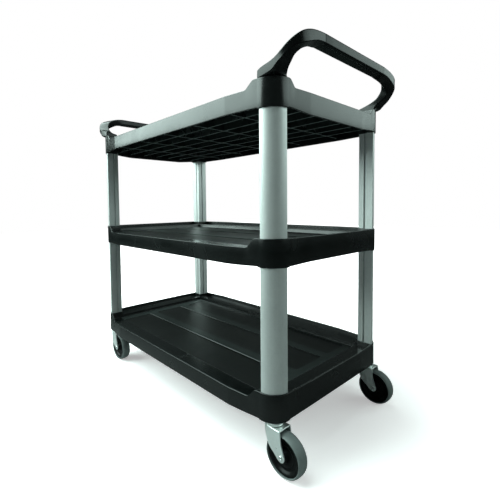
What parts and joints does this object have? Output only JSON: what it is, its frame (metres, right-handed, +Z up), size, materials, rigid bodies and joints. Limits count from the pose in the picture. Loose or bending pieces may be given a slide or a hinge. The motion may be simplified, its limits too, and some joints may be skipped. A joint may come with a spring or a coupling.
{
  "type": "food service trolley",
  "caption": "Three-shelf service trolley with moulded black shelves, quarter-round aluminium corner uprights, a raised loop handle at each end and swivel casters.",
  "frame": {"origin": "on the floor, midway between the two handles and midway across the trolley", "axes": "+X along the trolley towards the front handle, +Y across it towards the raised back edge of the shelves, +Z up"},
  "size_m": [1.041, 0.536, 1.012],
  "materials": {
    "shelf_plastic": "satin moulded structural foam",
    "handle_plastic": "satin",
    "grip_plastic": "satin",
    "upright_aluminium": "satin anodised",
    "zinc_steel": "bright zinc plated",
    "zinc_fasteners": "bright zinc plated",
    "wheel_plastic": "satin",
    "tyre_rubber": "soft grey non-marking rubber"
  },
  "bodies": {
    "cart": {"bottom_shelf": "shelf_plastic", "middle_shelf": "shelf_plastic", "top_shelf": "shelf_plastic", "lower_upright_front_right": "upright_aluminium", "upper_upright_front_right": "upright_aluminium", "lower_upright_front_left": "upright_aluminium", "upper_upright_front_left": "upright_aluminium", "lower_upright_rear_right": "upright_aluminium", "upper_upright_rear_right": "upright_aluminium", "lower_upright_rear_left": "upright_aluminium", "upper_upright_rear_left": "upright_aluminium", "front_handle": "handle_plastic", "rear_handle": "handle_plastic", "front_grip": "grip_plastic", "rear_grip": "grip_plastic", "caster_front_right_mount": "zinc_steel", "caster_front_left_mount": "zinc_steel", "caster_rear_right_mount": "zinc_steel", "caster_rear_left_mount": "zinc_steel"},
    "swivel_front_right": {"caster_front_right_fork": "zinc_steel", "caster_front_right_rivet": "zinc_fasteners", "caster_front_right_sleeve": "zinc_steel"},
    "wheel_front_right": {"caster_front_right_core": "wheel_plastic", "caster_front_right_tyre": "tyre_rubber"},
    "swivel_front_left": {"caster_front_left_fork": "zinc_steel", "caster_front_left_rivet": "zinc_fasteners", "caster_front_left_sleeve": "zinc_steel"},
    "wheel_front_left": {"caster_front_left_core": "wheel_plastic", "caster_front_left_tyre": "tyre_rubber"},
    "swivel_rear_right": {"caster_rear_right_fork": "zinc_steel", "caster_rear_right_rivet": "zinc_fasteners", "caster_rear_right_sleeve": "zinc_steel"},
    "wheel_rear_right": {"caster_rear_right_core": "wheel_plastic", "caster_rear_right_tyre": "tyre_rubber"},
    "swivel_rear_left": {"caster_rear_left_fork": "zinc_steel", "caster_rear_left_rivet": "zinc_fasteners", "caster_rear_left_sleeve": "zinc_steel"},
    "wheel_rear_left": {"caster_rear_left_core": "wheel_plastic", "caster_rear_left_tyre": "tyre_rubber"}
  },
  "joints": [
    {"name": "swivel_front_right", "type": "hinge", "parent": "cart", "child": "swivel_front_right", "pos_m": [0.433, -0.226, 0.1], "axis": [0, 0, 1], "continuous": true},
    {"name": "roll_front_right", "type": "hinge", "parent": "swivel_front_right", "child": "wheel_front_right", "pos_m": [0.469, -0.226, 0.051], "axis": [0, 1, 0], "continuous": true},
    {"name": "swivel_front_left", "type": "hinge", "parent": "cart", "child": "swivel_front_left", "pos_m": [0.433, 0.226, 0.1], "axis": [0, 0, 1], "continuous": true},
    {"name": "roll_front_left", "type": "hinge", "parent": "swivel_front_left", "child": "wheel_front_left", "pos_m": [0.469, 0.226, 0.051], "axis": [0, 1, 0], "continuous": true},
    {"name": "swivel_rear_right", "type": "hinge", "parent": "cart", "child": "swivel_rear_right", "pos_m": [-0.433, -0.226, 0.1], "axis": [0, 0, 1], "continuous": true},
    {"name": "roll_rear_right", "type": "hinge", "parent": "swivel_rear_right", "child": "wheel_rear_right", "pos_m": [-0.397, -0.226, 0.051], "axis": [0, 1, 0], "continuous": true},
    {"name": "swivel_rear_left", "type": "hinge", "parent": "cart", "child": "swivel_rear_left", "pos_m": [-0.433, 0.226, 0.1], "axis": [0, 0, 1], "continuous": true},
    {"name": "roll_rear_left", "type": "hinge", "parent": "swivel_rear_left", "child": "wheel_rear_left", "pos_m": [-0.397, 0.226, 0.051], "axis": [0, 1, 0], "continuous": true}
  ]
}
